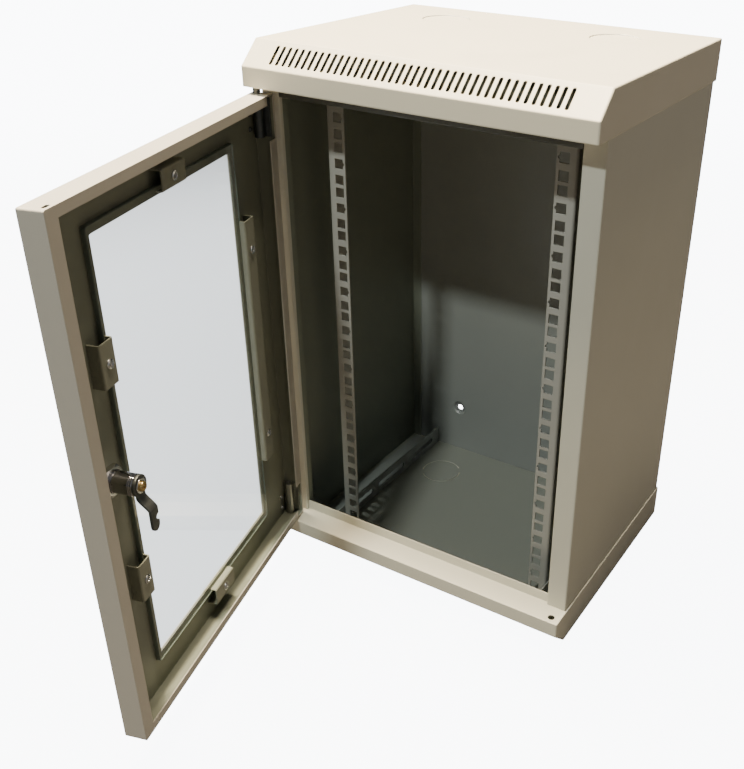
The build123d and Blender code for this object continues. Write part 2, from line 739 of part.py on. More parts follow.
crank_start = cam_hub_radius + 0.3
crank_end = crank_start + 11.3
cam_mid = cam_front + cam_sheet / 2
tip_radius = cam_width / 2 - 0.5
with BuildPart() as lock_cam:
    with BuildSketch(Plane.YZ.offset(lock_x)):
        with BuildLine():
            FilletPolyline(
                (cam_mid, lock_z + cam_hub_radius + 1),
                (cam_mid, lock_z - crank_start),
                (cam_mid + cam_offset, lock_z - crank_end),
                (cam_mid + cam_offset, lock_z - cam_length - 1),
                radius=cam_sheet,
            )
        trace(line_width=cam_sheet)
    extrude(amount=cam_hub_radius + 1, both=True)
    with BuildSketch(at_y(cam_back + cam_offset + 5)):
        with Locations((lock_x, lock_z)):
            Circle(cam_hub_radius)
        with BuildLine():
            Polyline(
                (lock_x - cam_width / 2 - 1, lock_z),
                (lock_x + cam_width / 2 + 1, lock_z),
                (lock_x + cam_width / 2 - 0.5, lock_z - cam_length + tip_radius),
                (lock_x - cam_width / 2 + 0.5, lock_z - cam_length + tip_radius),
                close=True,
            )
        make_face()
        with Locations((lock_x, lock_z - cam_length + tip_radius)):
            Circle(tip_radius)
        # hook: a notch on the window side, just above the tip
        with Locations((lock_x - cam_width / 2 + 0.8, lock_z - cam_length + 2 * tip_radius + 0.6)):
            Circle(3.1, mode=Mode.SUBTRACT)
        with Locations((lock_x, lock_z)):
            Rectangle(cam_square + 2 * slip, cam_square + 2 * slip, mode=Mode.SUBTRACT)
    extrude(amount=cam_offset + cam_sheet + 20, mode=Mode.INTERSECT)
write(lock_cam.part, "lock_cam", on_door=True)

with BuildPart() as cam_bolt:
    with BuildSketch(at_y(cam_back + 0.9)):
        with Locations((lock_x, lock_z)):
            Circle(cam_bolt_head + 2.2)
    extrude(amount=0.9)
    with BuildSketch(at_y(cam_back + 4.2)):
        with Locations((lock_x, lock_z)):
            RegularPolygon(cam_bolt_head, 6, major_radius=False)
    extrude(amount=3.3)
    with BuildSketch(at_y(cam_back + 4.2)):
        with Locations((lock_x, lock_z)):
            Rectangle(4.8, 1.0)
            Rectangle(1.0, 4.8)
    extrude(amount=1.5, mode=Mode.SUBTRACT)
    with BuildSketch(at_y(cam_back)):
        with Locations((lock_x, lock_z)):
            Circle(cam_bolt_radius)
    extrude(amount=8)
write(cam_bolt.part, "cam_bolt", on_door=True)
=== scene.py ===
import json
import math
import bpy
import bmesh
import numpy as np
from mathutils import Matrix, Vector


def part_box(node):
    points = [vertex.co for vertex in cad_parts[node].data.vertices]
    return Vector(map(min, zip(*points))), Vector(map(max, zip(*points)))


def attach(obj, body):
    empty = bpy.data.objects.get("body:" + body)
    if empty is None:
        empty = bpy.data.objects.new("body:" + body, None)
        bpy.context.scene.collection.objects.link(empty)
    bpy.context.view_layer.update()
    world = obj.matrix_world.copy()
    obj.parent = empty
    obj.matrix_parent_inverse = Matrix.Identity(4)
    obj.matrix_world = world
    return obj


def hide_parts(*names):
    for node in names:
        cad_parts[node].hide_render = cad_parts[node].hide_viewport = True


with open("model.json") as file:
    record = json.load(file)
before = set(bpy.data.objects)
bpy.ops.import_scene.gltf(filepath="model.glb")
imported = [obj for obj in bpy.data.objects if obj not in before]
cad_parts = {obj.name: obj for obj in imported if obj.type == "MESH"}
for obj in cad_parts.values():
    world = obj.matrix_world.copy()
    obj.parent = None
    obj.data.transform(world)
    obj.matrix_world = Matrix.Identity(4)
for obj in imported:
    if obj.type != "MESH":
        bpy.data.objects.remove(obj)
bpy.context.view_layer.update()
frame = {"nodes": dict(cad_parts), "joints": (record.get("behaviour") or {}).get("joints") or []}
mm = 0.001
print("frame loaded:", len(frame["nodes"]), "nodes")

# camera: the cabinet seen from the right and above, with its door open
cameraValues = {
    "place": (0.4537, -0.8252, 0.7092),
    "target": (0.0633, -0.1439, 0.2694),
    "rollDegrees": 1.31,
    "lens": 46.15,
    "shiftX": -0.118,
    "shiftY": 0.0083,
}


def aimed(place, target):
    # stands at the place and looks at the target
    gaze = Vector(target) - Vector(place)
    return Matrix.Translation(place) @ gaze.to_track_quat("-Z", "Y").to_matrix().to_4x4()


def placeCamera(values):
    data = bpy.data.cameras.new("viewCamera")
    data.lens = values["lens"]
    data.shift_x = values["shiftX"]
    data.shift_y = values["shiftY"]
    data.clip_start = 0.01
    data.clip_end = 50
    camera = bpy.data.objects.new("viewCamera", data)
    bpy.context.scene.collection.objects.link(camera)
    roll = Matrix.Rotation(math.radians(values["rollDegrees"]), 4, "Z")
    camera.matrix_world = aimed(values["place"], values["target"]) @ roll
    bpy.context.scene.camera = camera


placeCamera(cameraValues)

# studio: pale floor, soft lamps
studioValues = {
    "floorColor": (0.93, 0.93, 0.925),
    "floorBounce": (0.16, 0.155, 0.15),  # as bounced light meets it, so that it does not light the insides
    "floorMirror": (0.045, 0.045, 0.045),  # as gloss and glass mirror it
    "floorGlow": (0.86, 11.0),  # share and strength of the glow that whitens the floor
    "floorRadius": 2.6,
    "floorRings": 12,
    "floorColumns": 48,
    "floorSink": 0.0006,  # below the cabinet's underside
    "floorRough": 0.9,
    "floorFade": (0.9, 2.4),  # the floor melts into the sky between these radii
    "skyColor": (0.93, 0.96, 1.0),
    "skyStrength": 0.06,
    "skyShine": 0.22,  # the sky as gloss and chrome mirror it
    "skySeen": 11.0,
    "windowSeen": 2.3,  # floor and sky as seen through the glass
    # name: (place, target, width, height, power, color)
    "lamps": {
        "overheadLamp": ((-0.32, -0.14, 2.3), (0.0, -0.1, 0.4), 0.5, 0.5, 245, (1.0, 0.83, 0.57)),
        "rimLamp": ((0.205, -0.10, 2.3), (0.205, -0.1, 0.0), 0.04, 0.5, 34, (1.0, 0.87, 0.66)),
        "leftLamp": ((-1.30, 0.0, 1.9), (-0.07, -0.41, 0.27), 0.25, 0.9, 14, (1.0, 0.98, 0.96)),
        "keyLamp": ((-0.03, -1.65, 2.10), (0.03, -0.1, 0.25), 0.14, 0.10, 34, (0.95, 1.0, 0.93)),
        "sideLamp": ((2.4, 0.9, 1.3), (0.1, -0.1, 0.3), 1.2, 1.2, 4, (1.0, 0.78, 0.58)),
    },
}


def makeFloor(values):
    # a disc: radius along rows, angle along columns
    radius = np.linspace(0.0, values["floorRadius"], values["floorRings"])[:, None]
    angle = np.linspace(0.0, 2 * np.pi, values["floorColumns"], endpoint=False)[None, :]
    level = 0 * radius * angle - values["floorSink"]
    points = np.stack([radius * np.cos(angle), radius * np.sin(angle), level], axis=-1)
    floor = makeObject("studioFloor", [(points, False, True)])
    material, tree, shader = newMaterial("studioFloorPaint")
    link = tree.links.new
    rays = tree.nodes.new("ShaderNodeLightPath")
    tone = mix(tree, "RGBA", values["floorColor"], values["floorBounce"], rays.outputs["Is Diffuse Ray"])
    mirror = mix(tree, "RGBA", tone, values["floorMirror"], rays.outputs["Is Glossy Ray"])
    link(mirror, shader.inputs["Base Color"])
    shader.inputs["Roughness"].default_value = values["floorRough"]
    shader.inputs["Specular IOR Level"].default_value = 0.0
    # how far a point is from the middle sets how much of the floor is left
    place = tree.nodes.new("ShaderNodeTexCoord").outputs["Object"]
    reach = addNode(tree, "ShaderNodeVectorMath", {"operation": "LENGTH"})
    start, end = values["floorFade"]
    fade = addNode(tree, "ShaderNodeMapRange", {"clamp": True, "interpolation_type": "SMOOTHSTEP"},
                   From_Min=start, From_Max=end, To_Min=1.0, To_Max=0.0)
    link(place, reach.inputs[0])
    link(reach.outputs["Value"], fade.inputs["Value"])
    # a glow whitens it for the camera, and a weaker one behind the glass
    glowShare, glowStrength = values["floorGlow"]
    glow = addNode(tree, "ShaderNodeEmission", Color=(*values["skyColor"], 1))
    power = mix(tree, "FLOAT", glowStrength, values["windowSeen"], rays.outputs["Is Transmission Ray"])
    link(power, glow.inputs["Strength"])
    watched = addNode(tree, "ShaderNodeMath", {"operation": "MULTIPLY"})
    watched.inputs[1].default_value = glowShare
    link(rays.outputs["Is Camera Ray"], watched.inputs[0])
    share = addNode(tree, "ShaderNodeMath", {"operation": "MAXIMUM"})
    link(watched.outputs["Value"], share.inputs[0])
    link(rays.outputs["Is Transmission Ray"], share.inputs[1])
    lit = tree.nodes.new("ShaderNodeMixShader")
    link(share.outputs["Value"], lit.inputs["Fac"])
    link(shader.outputs["BSDF"], lit.inputs[1])
    link(glow.outputs["Emission"], lit.inputs[2])
    gone = tree.nodes.new("ShaderNodeBsdfTransparent")
    blend = tree.nodes.new("ShaderNodeMixShader")
    link(fade.outputs["Result"], blend.inputs["Fac"])
    link(gone.outputs["BSDF"], blend.inputs[1])
    link(lit.outputs["Shader"], blend.inputs[2])
    link(blend.outputs["Shader"], tree.nodes["Material Output"].inputs["Surface"])
    floor.data.materials.append(material)


def placeLamps(values):
    for name, (place, target, width, height, power, color) in values["lamps"].items():
        data = bpy.data.lights.new(name, "AREA")
        data.shape = "RECTANGLE"
        data.size = width
        data.size_y = height
        data.energy = power
        data.color = color
        lamp = bpy.data.objects.new(name, data)
        bpy.context.scene.collection.objects.link(lamp)
        lamp.matrix_world = aimed(place, target)
    world = bpy.data.worlds.new("studioSky")
    world.use_nodes = True
    tree = world.node_tree
    sky = tree.nodes["Background"]
    sky.inputs["Color"].default_value = (*values["skyColor"], 1)
    rays = tree.nodes.new("ShaderNodeLightPath")
    strength = values["skySeen"]
    for key, ray in (("windowSeen", "Transmission"), ("skyShine", "Glossy"), ("skyStrength", "Diffuse")):
        strength = mix(tree, "FLOAT", strength, values[key], rays.outputs["Is " + ray + " Ray"])
    tree.links.new(strength, sky.inputs["Strength"])
    bpy.context.scene.world = world


# node helpers
def newMaterial(name):
    material = bpy.data.materials.new(name)
    material.use_nodes = True
    tree = material.node_tree
    return material, tree, tree.nodes["Principled BSDF"]


def addNode(tree, kind, settings=None, **inputs):
    node = tree.nodes.new(kind)
    for key, value in (settings or {}).items():
        setattr(node, key, value)
    for key, value in inputs.items():
        node.inputs[key.replace("_", " ")].default_value = value
    return node


def feed(tree, value, socket):
    # a socket takes another node's output, a color, or a plain number
    if isinstance(value, bpy.types.NodeSocket):
        tree.links.new(value, socket)
    elif isinstance(value, tuple):
        socket.default_value = (*value, 1)
    else:
        socket.default_value = value


def mix(tree, kind, first, second, factor, blend="MIX"):
    # the first value where the factor is nought, the second where it is one
    node = addNode(tree, "ShaderNodeMix", {"data_type": kind, "blend_type": blend})
    feed(tree, first, node.inputs["A"])
    feed(tree, second, node.inputs["B"])
    tree.links.new(factor, node.inputs["Factor"])
    return node.outputs["Result"]


def roughen(tree, shader, height, strength, distance, normal=None):
    # bump from a height, on top of another normal where one is given
    bump = addNode(tree, "ShaderNodeBump", Strength=strength, Distance=distance)
    if normal is not None:
        tree.links.new(normal, bump.inputs["Normal"])
    tree.links.new(height, bump.inputs["Height"])
    tree.links.new(bump.outputs["Normal"], shader.inputs["Normal"])


def newGroup(name, inputs, outputs):
    group = bpy.data.node_groups.new(name, "ShaderNodeTree")
    for title, kind, value in inputs:
        socket = group.interface.new_socket(name=title, in_out="INPUT", socket_type="NodeSocket" + kind)
        if value is not None:
            socket.default_value = value
    for title, kind in outputs:
        group.interface.new_socket(name=title, in_out="OUTPUT", socket_type="NodeSocket" + kind)
    return group, group.nodes.new("NodeGroupInput"), group.nodes.new("NodeGroupOutput")


def useGroup(tree, group, **values):
    node = tree.nodes.new("ShaderNodeGroup")
    node.node_tree = group
    for key, value in values.items():
        node.inputs[key].default_value = value
    return node


# shared surface effects
def buildOrangePeel():
    # two octaves of fine lumps give the height; a broad cloud gives a slow change of tone
    group, entry, exit = newGroup(
        "orangePeel",
        [("Place", "Vector", None), ("Scale", "Float", 700.0),
         ("Cloud", "Float", 9.0)],
        [("Height", "Float"), ("Tone", "Float")],
    )
    lumps = addNode(group, "ShaderNodeTexNoise", Detail=2.0, Roughness=0.55)
    cloud = addNode(group, "ShaderNodeTexNoise", Detail=3.0, Roughness=0.5)
    link = group.links.new
    link(entry.outputs["Place"], lumps.inputs["Vector"])
    link(entry.outputs["Scale"], lumps.inputs["Scale"])
    link(entry.outputs["Place"], cloud.inputs["Vector"])
    link(entry.outputs["Cloud"], cloud.inputs["Scale"])
    link(lumps.outputs["Fac"], exit.inputs["Height"])
    link(cloud.outputs["Fac"], exit.inputs["Tone"])
    return group


def buildEdgeWearAndGlint():
    # edge wear and painted highlight: how far the rounded normal leans from the true one, times a gain,
    # broken up by noise; the mask lightens edges for both
    group, entry, exit = newGroup(
        "edgeWearAndGlint",
        [("Place", "Vector", None), ("Radius", "Float", 0.0008),
         ("Gain", "Float", 3.0)],
        [("Mask", "Float"), ("Normal", "Vector")],
    )
    rounded = addNode(group, "ShaderNodeBevel", {"samples": 6})
    plain = group.nodes.new("ShaderNodeNewGeometry")
    lean = addNode(group, "ShaderNodeVectorMath", {"operation": "DOT_PRODUCT"})
    rest = addNode(group, "ShaderNodeMath", {"operation": "SUBTRACT"})
    rest.inputs[0].default_value = 1.0
    gained = addNode(group, "ShaderNodeMath", {"operation": "MULTIPLY", "use_clamp": True})
    breaks = addNode(group, "ShaderNodeTexNoise", Scale=120.0, Detail=3.0)
    broken = addNode(group, "ShaderNodeMath", {"operation": "MULTIPLY", "use_clamp": True})
    link = group.links.new
    link(entry.outputs["Radius"], rounded.inputs["Radius"])
    link(rounded.outputs["Normal"], lean.inputs[0])
    link(rounded.outputs["Normal"], exit.inputs["Normal"])
    link(plain.outputs["Normal"], lean.inputs[1])
    link(lean.outputs["Value"], rest.inputs[1])
    link(rest.outputs["Value"], gained.inputs[0])
    link(entry.outputs["Gain"], gained.inputs[1])
    link(entry.outputs["Place"], breaks.inputs["Vector"])
    link(gained.outputs["Value"], broken.inputs[0])
    link(breaks.outputs["Fac"], broken.inputs[1])
    link(broken.outputs["Value"], exit.inputs["Mask"])
    return group


def buildHandling():
    # soft smudges and short wipes: stretched noise through a ramp
    group, entry, exit = newGroup(
        "handlingMarks",
        [("Place", "Vector", None), ("Scale", "Float", 14.0)],
        [("Mask", "Float")],
    )
    stretch = addNode(group, "ShaderNodeMapping", Scale=(1.0, 1.0, 0.35), Rotation=(0.3, 0.5, 0.0))
    marks = addNode(group, "ShaderNodeTexNoise", Detail=5.0, Roughness=0.62, Distortion=0.8)
    keep = addNode(group, "ShaderNodeMapRange", {"clamp": True}, From_Min=0.5, From_Max=0.78)
    link = group.links.new
    link(entry.outputs["Place"], stretch.inputs["Vector"])
    link(stretch.outputs["Vector"], marks.inputs["Vector"])
    link(entry.outputs["Scale"], marks.inputs["Scale"])
    link(marks.outputs["Fac"], keep.inputs["Value"])
    link(keep.outputs["Result"], exit.inputs["Mask"])
    return group


def buildBrushing():
    # long fine scratches along one direction
    group, entry, exit = newGroup(
        "brushing",
        [("Place", "Vector", None), ("Stretch", "Vector", (40.0, 40.0, 1.0)),
         ("Scale", "Float", 60.0)],
        [("Height", "Float")],
    )
    scaled = addNode(group, "ShaderNodeVectorMath", {"operation": "MULTIPLY"})
    lines = addNode(group, "ShaderNodeTexNoise", Detail=3.0, Roughness=0.6)
    link = group.links.new
    link(entry.outputs["Place"], scaled.inputs[0])
    link(entry.outputs["Stretch"], scaled.inputs[1])
    link(scaled.outputs["Vector"], lines.inputs["Vector"])
    link(entry.outputs["Scale"], lines.inputs["Scale"])
    link(lines.outputs["Fac"], exit.inputs["Height"])
    return group


def buildBoxMask():
    # one inside the box between Low and High, fading over Soft at each face
    group, entry, exit = newGroup(
        "boxMask",
        [("Place", "Vector", None), ("Low", "Vector", (0, 0, 0)),
         ("High", "Vector", (1, 1, 1)), ("Soft", "Float", 0.0004)],
        [("Mask", "Float")],
    )
    link = group.links.new
    above = addNode(group, "ShaderNodeVectorMath", {"operation": "SUBTRACT"})
    below = addNode(group, "ShaderNodeVectorMath", {"operation": "SUBTRACT"})
    nearest = addNode(group, "ShaderNodeVectorMath", {"operation": "MINIMUM"})
    parts = group.nodes.new("ShaderNodeSeparateXYZ")
    lower = addNode(group, "ShaderNodeMath", {"operation": "MINIMUM"})
    lowest = addNode(group, "ShaderNodeMath", {"operation": "MINIMUM"})
    share = addNode(group, "ShaderNodeMath", {"operation": "DIVIDE", "use_clamp": True})
    link(entry.outputs["Place"], above.inputs[0])
    link(entry.outputs["Low"], above.inputs[1])
    link(entry.outputs["High"], below.inputs[0])
    link(entry.outputs["Place"], below.inputs[1])
    link(above.outputs["Vector"], nearest.inputs[0])
    link(below.outputs["Vector"], nearest.inputs[1])
    link(nearest.outputs["Vector"], parts.inputs["Vector"])
    link(parts.outputs["X"], lower.inputs[0])
    link(parts.outputs["Y"], lower.inputs[1])
    link(lower.outputs["Value"], lowest.inputs[0])
    link(parts.outputs["Z"], lowest.inputs[1])
    link(lowest.outputs["Value"], share.inputs[0])
    link(entry.outputs["Soft"], share.inputs[1])
    link(share.outputs["Value"], exit.inputs["Mask"])
    return group


orangePeel = buildOrangePeel()
boxMask = buildBoxMask()
edgeWearAndGlint = buildEdgeWearAndGlint()
handlingMarks = buildHandling()
brushing = buildBrushing()
print("surface effects built")


# finishes
def turned(points, degrees):
    # the points turned about the door's hinge line: each row (x, y) times the turning matrix
    hinge = np.array(doorHinge["pos_m"][:2])
    angle = math.radians(degrees)
    turn = np.array([[math.cos(angle), math.sin(angle)], [-math.sin(angle), math.cos(angle)]])
    moved = np.array(points, dtype=float)
    moved[..., :2] = (moved[..., :2] - hinge) @ turn + hinge
    return moved


def shutBox(name):
    # the lowest and highest corners of a door piece with the door shut
    mesh = frame["nodes"][name].data
    points = np.empty(len(mesh.vertices) * 3)
    mesh.vertices.foreach_get("co", points)
    points = turned(points.reshape(-1, 3), doorAngle)
    return points.min(0), points.max(0)


doorHinge = next(joint for joint in frame["joints"] if joint["name"] == "door_hinge")
doorAngle = -doorHinge["range_deg"][0]  # how far open the door stands
wallLow, wallHigh = (np.array(corner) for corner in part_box("back_panel"))
panLow, panHigh = shutBox("door_pan")

# the box in which each coat takes its painted shade, a darker tone that stands in for the shade inside the
# cabinet, in the door's recess and under the cover, and how far its place is turned first; each box ends
# within the sheet, between its outer and its inner face
boxValues = {
    "inset": 0.7 * mm,
    "jambInset": 4.0 * mm,
    "backInset": 2.5 * mm,
    "topRise": 0.2 * mm,
    "coverInset": 1.1 * mm,
    "bevelHeight": 21.2 * mm,  # of the cover's front bevel
    "belowBevel": 1.0 * mm,
}
inset = boxValues["inset"]
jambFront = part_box("left_side_panel")[0][1]
coverLow, coverHigh = (np.array(corner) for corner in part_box("top_cover"))
coverInset = boxValues["coverInset"]
bevelFoot = coverHigh[2] - boxValues["bevelHeight"]
cabinetShadeBox = {
    "low": (wallLow[0] + inset, jambFront + boxValues["jambInset"], wallLow[2] - inset),
    "high": (wallHigh[0] - inset, wallHigh[1] - boxValues["backInset"], wallHigh[2] + boxValues["topRise"]),
    "turn": 0.0,
}
doorShadeBox = {"low": tuple(panLow + inset), "high": tuple(panHigh - inset), "turn": doorAngle}
coverShadeBox = {
    "low": tuple(coverLow + coverInset),
    "high": (coverHigh[0] - coverInset, coverHigh[1] - coverInset, bevelFoot - boxValues["belowBevel"]),
    "turn": 0.0,
}

# cuts: faces within the box that run square to "face" take a painted tone: painted shade on the vent slots'
# walls, painted highlight on the knock-out grooves' walls
cutMargin = 8 * mm  # from the cover's sides and back
slotShadeCut = {
    "low": (coverLow[0] + cutMargin, coverLow[1] - 1 * mm, bevelFoot - 2 * mm),
    "high": (coverHigh[0] - cutMargin, coverLow[1] + 24 * mm, coverHigh[2] + 1 * mm),
    "face": (0.0, -0.69, 0.72),  # out of the bevel
    # painted shade on the slots' walls
    "tone": (0.03, 0.03, 0.025),
    "square": 0.4,  # the most that a cut face's normal may share with it
}
grooveHighlightCut = {
    "low": (coverLow[0] + cutMargin, coverLow[1] + 40 * mm, coverHigh[2] - 1.15 * mm),
    "high": (coverHigh[0] - cutMargin, coverHigh[1] - cutMargin, coverHigh[2] + 1 * mm),
    "face": (0.0, 0.0, 1.0),
    # painted highlight on the grooves' walls
    "tone": (0.97, 0.96, 0.93),
    "square": 0.4,
}

# powder coats, one paint in lit and shaded copies: light and dark are the ends of a coat's slow change of
# tone; the side, door, back, rail, clip and header coats are darker copies that paint shade, the cover coat
# is a warmer copy for its lit top, and the tone in the box is painted shade
coatLook = {
    "peelScale": 750.0,
    "peelCloud": 7.0,
    "peelStrength": 0.35,
    "edgeRadius": 0.7 * mm,
    "edgeGain": 2.2,
    "edgeLift": (1.35, 1.35, 1.33),
    "marksScale": 12.0,
    "marks": 0.05,
    "depth": 0.05,
}
coatValues = {
    "shellCoat": {"light": (0.69, 0.675, 0.58), "dark": (0.65, 0.635, 0.545),
                  "paintedShade": (0.285, 0.295, 0.262), "box": cabinetShadeBox, "rough": 0.46},
    "coverCoat": {"light": (0.685, 0.65, 0.54), "dark": (0.645, 0.61, 0.505), "paintedShade": (0.10, 0.10, 0.09),
                  "box": coverShadeBox, "cuts": (slotShadeCut, grooveHighlightCut), "edgeRadius": 1.8 * mm,
                  "rough": 0.46},
    # painted shadow: the header strip is near black, standing in for the shade under the cover's front
    "headerShadowCoat": {"light": (0.075, 0.078, 0.068), "dark": (0.065, 0.068, 0.06),
                   "paintedShade": (0.03, 0.03, 0.027), "box": coverShadeBox, "rough": 0.48},
    "sideShadeCoat": {"light": (0.595, 0.59, 0.515), "dark": (0.555, 0.55, 0.48), "paintedShade": (0.20, 0.22, 0.18),
                 "box": cabinetShadeBox, "rough": 0.48},
    "doorShadeCoat": {"light": (0.48, 0.455, 0.405), "dark": (0.44, 0.415, 0.37), "paintedShade": (0.205, 0.217, 0.172),
                 "box": doorShadeBox, "rough": 0.44, "marks": 0.06},
    "backShadeCoat": {"light": (0.26, 0.275, 0.268), "dark": (0.235, 0.25, 0.243), "paintedShade": (0.28, 0.297, 0.286),
                 "box": cabinetShadeBox, "rough": 0.40, "marks": 0.08, "depth": 0.04},
    "railShadeCoat": {"light": (0.40, 0.40, 0.37), "dark": (0.36, 0.36, 0.335), "paintedShade": (0.38, 0.38, 0.355),
                 "box": cabinetShadeBox, "rough": 0.42, "marks": 0.06, "depth": 0.04},
    "clipShadeCoat": {"light": (0.25, 0.255, 0.205), "dark": (0.215, 0.22, 0.175), "paintedShade": (0.235, 0.24, 0.19),
                 "box": doorShadeBox, "rough": 0.38, "marks": 0.08, "depth": 0.03},
}


def cutMask(tree, place, cut):
    # one on the faces within the cut's box whose normal runs square to the sheet's
    link = tree.links.new
    band = useGroup(tree, boxMask, Low=cut["low"], High=cut["high"])
    link(place, band.inputs["Place"])
    facing = addNode(tree, "ShaderNodeVectorMath", {"operation": "DOT_PRODUCT"})
    link(tree.nodes.new("ShaderNodeNewGeometry").outputs["True Normal"], facing.inputs[0])
    facing.inputs[1].default_value = cut["face"]
    square = addNode(tree, "ShaderNodeMath", {"operation": "COMPARE"})
    link(facing.outputs["Value"], square.inputs[0])
    square.inputs[1].default_value = 0.0
    square.inputs[2].default_value = cut["square"]
    wall = addNode(tree, "ShaderNodeMath", {"operation": "MULTIPLY"})
    link(square.outputs["Value"], wall.inputs[0])
    link(band.outputs["Mask"], wall.inputs[1])
    return wall.outputs["Value"]


def coatMaterial(name, values):
    values = {**coatLook, **values}
    material, tree, shader = newMaterial(name)
    link = tree.links.new
    place = tree.nodes.new("ShaderNodeTexCoord").outputs["Object"]
    peel = useGroup(tree, orangePeel, Scale=values["peelScale"], Cloud=values["peelCloud"])
    wearAndGlint = useGroup(tree, edgeWearAndGlint, Radius=values["edgeRadius"], Gain=values["edgeGain"])
    marks = useGroup(tree, handlingMarks, Scale=values["marksScale"])
    for group in (peel, wearAndGlint, marks):
        link(place, group.inputs["Place"])
    # mask of the box where the painted shade goes
    within = useGroup(tree, boxMask, Low=values["box"]["low"], High=values["box"]["high"])
    shut = addNode(tree, "ShaderNodeVectorRotate", {"rotation_type": "Z_AXIS"})
    shut.inputs["Center"].default_value = doorHinge["pos_m"]
    shut.inputs["Angle"].default_value = math.radians(values["box"]["turn"])
    link(place, shut.inputs["Vector"])
    link(shut.outputs["Vector"], within.inputs["Place"])
    color = mix(tree, "RGBA", values["dark"], values["light"], peel.outputs["Tone"])
    # painted shade: inside its box the coat takes a darker tone that stands in for shade, not a second paint
    color = mix(tree, "RGBA", color, values["paintedShade"], within.outputs["Mask"])
    # edge wear and painted highlight: the coat's colour is lightened along its edges
    color = mix(tree, "RGBA", color, values["edgeLift"], wearAndGlint.outputs["Mask"], "MULTIPLY")
    # painted shade on the slot walls, painted highlight on the groove walls
    for cut in values.get("cuts", ()):
        color = mix(tree, "RGBA", color, cut["tone"], cutMask(tree, place, cut))
    link(color, shader.inputs["Base Color"])
    rough = addNode(tree, "ShaderNodeMath", {"operation": "MULTIPLY_ADD"})
    rough.inputs[1].default_value = -values["marks"] * 2
    rough.inputs[2].default_value = values["rough"]
    link(marks.outputs["Mask"], rough.inputs[0])
    link(rough.outputs["Value"], shader.inputs["Roughness"])
    peelDepth = values["depth"] * mm
    roughen(tree, shader, peel.outputs["Height"], values["peelStrength"], peelDepth, wearAndGlint.outputs["Normal"])
    return material


# metals: light and dark are the ends of the brushed tone
metalLook = {
    "edgeRadius": 0.5 * mm,
    "edgeGain": 2.5,
    "edgeLift": 1.3,
    "roughSpread": (0.7, 1.4),
    "lineStrength": 0.2,
    "lineDepth": 0.02 * mm,
    "stretch": (1.0, 1.0, 1.0),
}
metalValues = {
    "zincPlate": {"light": (0.66, 0.66, 0.64), "dark": (0.42, 0.42, 0.40),
                  "rough": 0.30, "stretch": (30.0, 30.0, 1.0), "scale": 70.0},
    "brightZinc": {"light": (0.80, 0.79, 0.76), "dark": (0.60, 0.59, 0.57),
                   "rough": 0.22, "scale": 260.0},
    "lockChrome": {"light": (0.60, 0.58, 0.58), "dark": (0.46, 0.44, 0.45),
                   "rough": 0.12, "scale": 120.0},
    "hingeSteel": {"light": (0.36, 0.36, 0.33), "dark": (0.22, 0.22, 0.20),
                   "rough": 0.34, "stretch": (1.0, 1.0, 8.0), "scale": 80.0},
    "camSteel": {"light": (0.17, 0.175, 0.17), "dark": (0.10, 0.105, 0.10),
                 "rough": 0.46, "stretch": (1.0, 1.0, 12.0), "scale": 90.0},
    "boltBrass": {"light": (0.80, 0.58, 0.26), "dark": (0.50, 0.33, 0.13),
                  "rough": 0.24, "scale": 300.0},
}


def metalMaterial(name, values):
    values = {**metalLook, **values}
    material, tree, shader = newMaterial(name)
    link = tree.links.new
    place = tree.nodes.new("ShaderNodeTexCoord").outputs["Object"]
    lines = useGroup(tree, brushing, Stretch=values["stretch"], Scale=values["scale"])
    wearAndGlint = useGroup(tree, edgeWearAndGlint, Radius=values["edgeRadius"], Gain=values["edgeGain"])
    link(place, lines.inputs["Place"])
    link(place, wearAndGlint.inputs["Place"])
    # edge wear and painted highlight: the metal's colour is lightened along its edges
    edgeTone = tuple(min(1.0, values["edgeLift"] * part) for part in values["light"])
    color = mix(tree, "RGBA", values["dark"], values["light"], lines.outputs["Height"])
    color = mix(tree, "RGBA", color, edgeTone, wearAndGlint.outputs["Mask"])
    link(color, shader.inputs["Base Color"])
    smoothest, roughest = (values["rough"] * share for share in values["roughSpread"])
    rough = addNode(tree, "ShaderNodeMapRange", To_Min=smoothest, To_Max=roughest)
    link(lines.outputs["Height"], rough.inputs["Value"])
    link(rough.outputs["Result"], shader.inputs["Roughness"])
    shader.inputs["Metallic"].default_value = 1.0
    height = lines.outputs["Height"]
    roughen(tree, shader, height, values["lineStrength"], values["lineDepth"], wearAndGlint.outputs["Normal"])
    return material


glassValues = {
    "color": (0.93, 0.955, 0.945),
    "passed": (0.90, 0.92, 0.915),  # share of lamp light that passes straight through
    "ior": 1.47,
    "rough": 0.015,
    "film": (5.0, 4.0),  # scale of the film's smudges, and how much rougher they are
}


